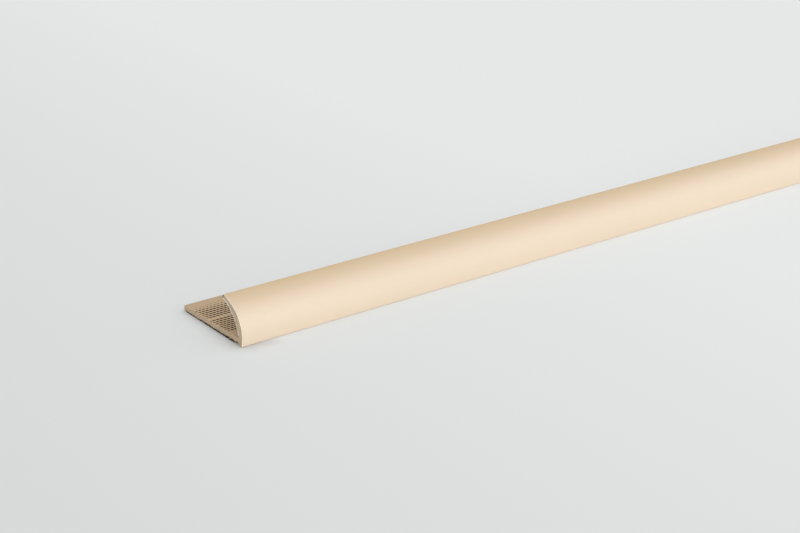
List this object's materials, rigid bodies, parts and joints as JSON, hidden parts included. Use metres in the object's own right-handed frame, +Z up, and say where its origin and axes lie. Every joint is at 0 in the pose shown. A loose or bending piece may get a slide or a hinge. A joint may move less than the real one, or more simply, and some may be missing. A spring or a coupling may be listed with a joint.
{
  "type": "tile edge trim",
  "caption": "Straight length of cream PVC tile edge trim with a curved quadrant face, a lip over the tile's edge and a flat pitted flange that beds in adhesive.",
  "frame": {"origin": "under the middle of the length, at the centre of the box's base, on the ground that the trim lies on", "axes": "+X along the length, +Y from the curved face to the flange's back edge, +Z up"},
  "size_m": [1, 0.0268, 0.0109],
  "materials": {
    "pvc": "satin"
  },
  "bodies": {
    "root": {"edge_trim": "pvc"}
  },
  "joints": []
}
